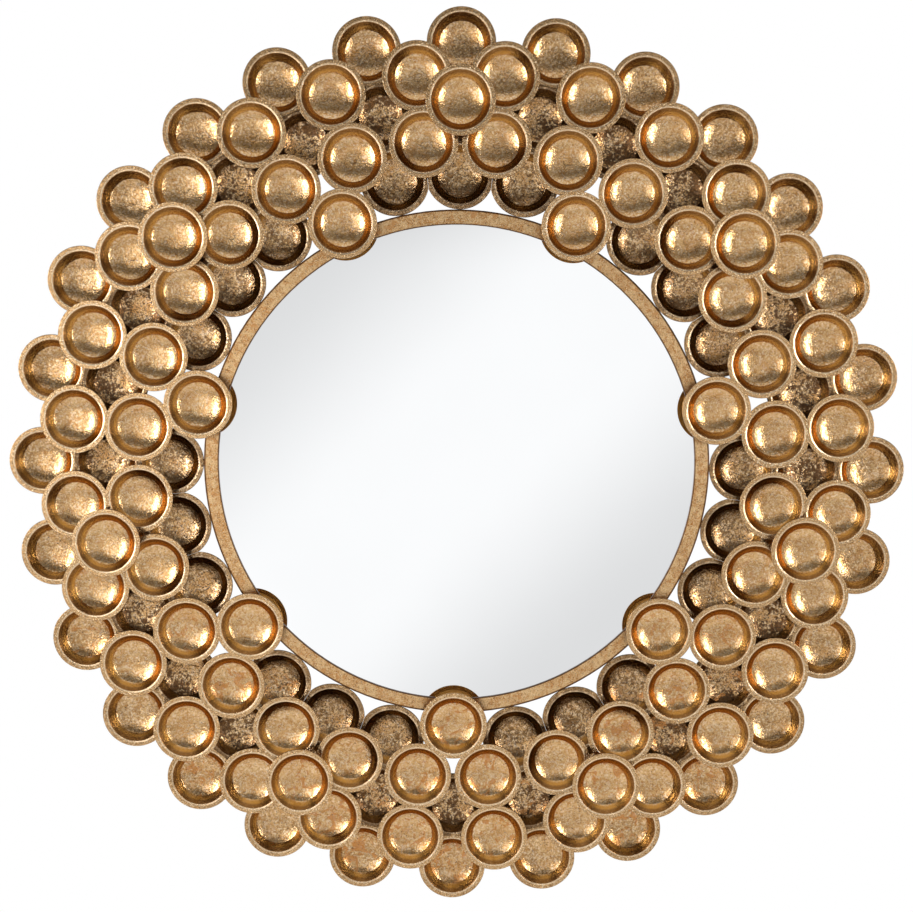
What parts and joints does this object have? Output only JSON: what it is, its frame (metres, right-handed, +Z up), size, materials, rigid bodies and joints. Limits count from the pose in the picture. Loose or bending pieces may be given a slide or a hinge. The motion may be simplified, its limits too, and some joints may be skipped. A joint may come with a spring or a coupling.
{
  "type": "wall mirror",
  "caption": "Round wall mirror in a flat metal ring, bordered by overlapping layers of small gilt dished discs in a petal pattern, hung by two hinged strap rings.",
  "frame": {"origin": "the mirror's centre on the wall plane, which the rubber bumpers touch", "axes": "+X to the viewer's right, +Z up, -Y out of the glass towards the viewer, +Y into the wall"},
  "size_m": [0.9156, 0.0501, 0.9156],
  "materials": {
    "gilt_front_discs": "antique gold leaf, rubbed and speckled",
    "gilt_middle_discs": "antique gold leaf, rubbed and speckled",
    "gilt_back_discs": "antique gold leaf, darker and more worn",
    "gilt_ring": "antique gold leaf, hand laid",
    "mirror": "silvered plain glass",
    "fibreboard": "raw fibreboard",
    "zinc_steel": "bright zinc plate",
    "rubber": "matt black rubber"
  },
  "bodies": {
    "mirror": {"ring_frame": "gilt_ring", "mirror_glass": "mirror", "backing_board": "fibreboard", "retaining_clips": "zinc_steel", "clip_screws": "zinc_steel", "left_hanger_strap": "zinc_steel", "right_hanger_strap": "zinc_steel", "hanger_screws": "zinc_steel", "wall_bumpers": "rubber", "back_inner_discs_1": "gilt_back_discs", "back_inner_discs_2": "gilt_back_discs", "back_inner_discs_3": "gilt_back_discs", "back_inner_discs_4": "gilt_back_discs", "back_inner_discs_5": "gilt_back_discs", "back_inner_discs_6": "gilt_back_discs", "back_inner_discs_7": "gilt_back_discs", "back_middle_discs_1": "gilt_back_discs", "back_middle_discs_2": "gilt_back_discs", "back_middle_discs_3": "gilt_back_discs", "back_middle_discs_4": "gilt_back_discs", "back_middle_discs_5": "gilt_back_discs", "back_middle_discs_6": "gilt_back_discs", "back_middle_discs_7": "gilt_back_discs", "back_outer_discs_1": "gilt_back_discs", "back_outer_discs_2": "gilt_back_discs", "back_outer_discs_3": "gilt_back_discs", "back_outer_discs_4": "gilt_back_discs", "back_outer_discs_5": "gilt_back_discs", "back_outer_discs_6": "gilt_back_discs", "back_outer_discs_7": "gilt_back_discs", "middle_inner_discs_1": "gilt_middle_discs", "middle_inner_discs_2": "gilt_middle_discs", "middle_inner_discs_3": "gilt_middle_discs", "middle_inner_discs_4": "gilt_middle_discs", "middle_inner_discs_5": "gilt_middle_discs", "middle_inner_discs_6": "gilt_middle_discs", "middle_inner_discs_7": "gilt_middle_discs", "middle_outer_discs_1": "gilt_middle_discs", "middle_outer_discs_2": "gilt_middle_discs", "middle_outer_discs_3": "gilt_middle_discs", "middle_outer_discs_4": "gilt_middle_discs", "middle_outer_discs_5": "gilt_middle_discs", "middle_outer_discs_6": "gilt_middle_discs", "middle_outer_discs_7": "gilt_middle_discs", "front_disc_1": "gilt_front_discs", "front_disc_2": "gilt_front_discs", "front_disc_3": "gilt_front_discs", "front_disc_4": "gilt_front_discs", "front_disc_5": "gilt_front_discs", "front_disc_6": "gilt_front_discs", "front_disc_7": "gilt_front_discs", "ring_disc_1": "gilt_front_discs", "ring_disc_2": "gilt_front_discs", "ring_disc_3": "gilt_front_discs", "ring_disc_4": "gilt_front_discs", "ring_disc_5": "gilt_front_discs", "ring_disc_6": "gilt_front_discs", "ring_disc_7": "gilt_front_discs"},
    "left_ring": {"left_hanger_ring": "zinc_steel"},
    "right_ring": {"right_hanger_ring": "zinc_steel"}
  },
  "joints": [
    {"name": "left_ring_swing", "type": "hinge", "parent": "mirror", "child": "left_ring", "pos_m": [-0.16, -0.006, 0.13], "axis": [1, 0, 0], "range_deg": [0, 180]},
    {"name": "right_ring_swing", "type": "hinge", "parent": "mirror", "child": "right_ring", "pos_m": [0.16, -0.006, 0.13], "axis": [1, 0, 0], "range_deg": [0, 180]}
  ]
}
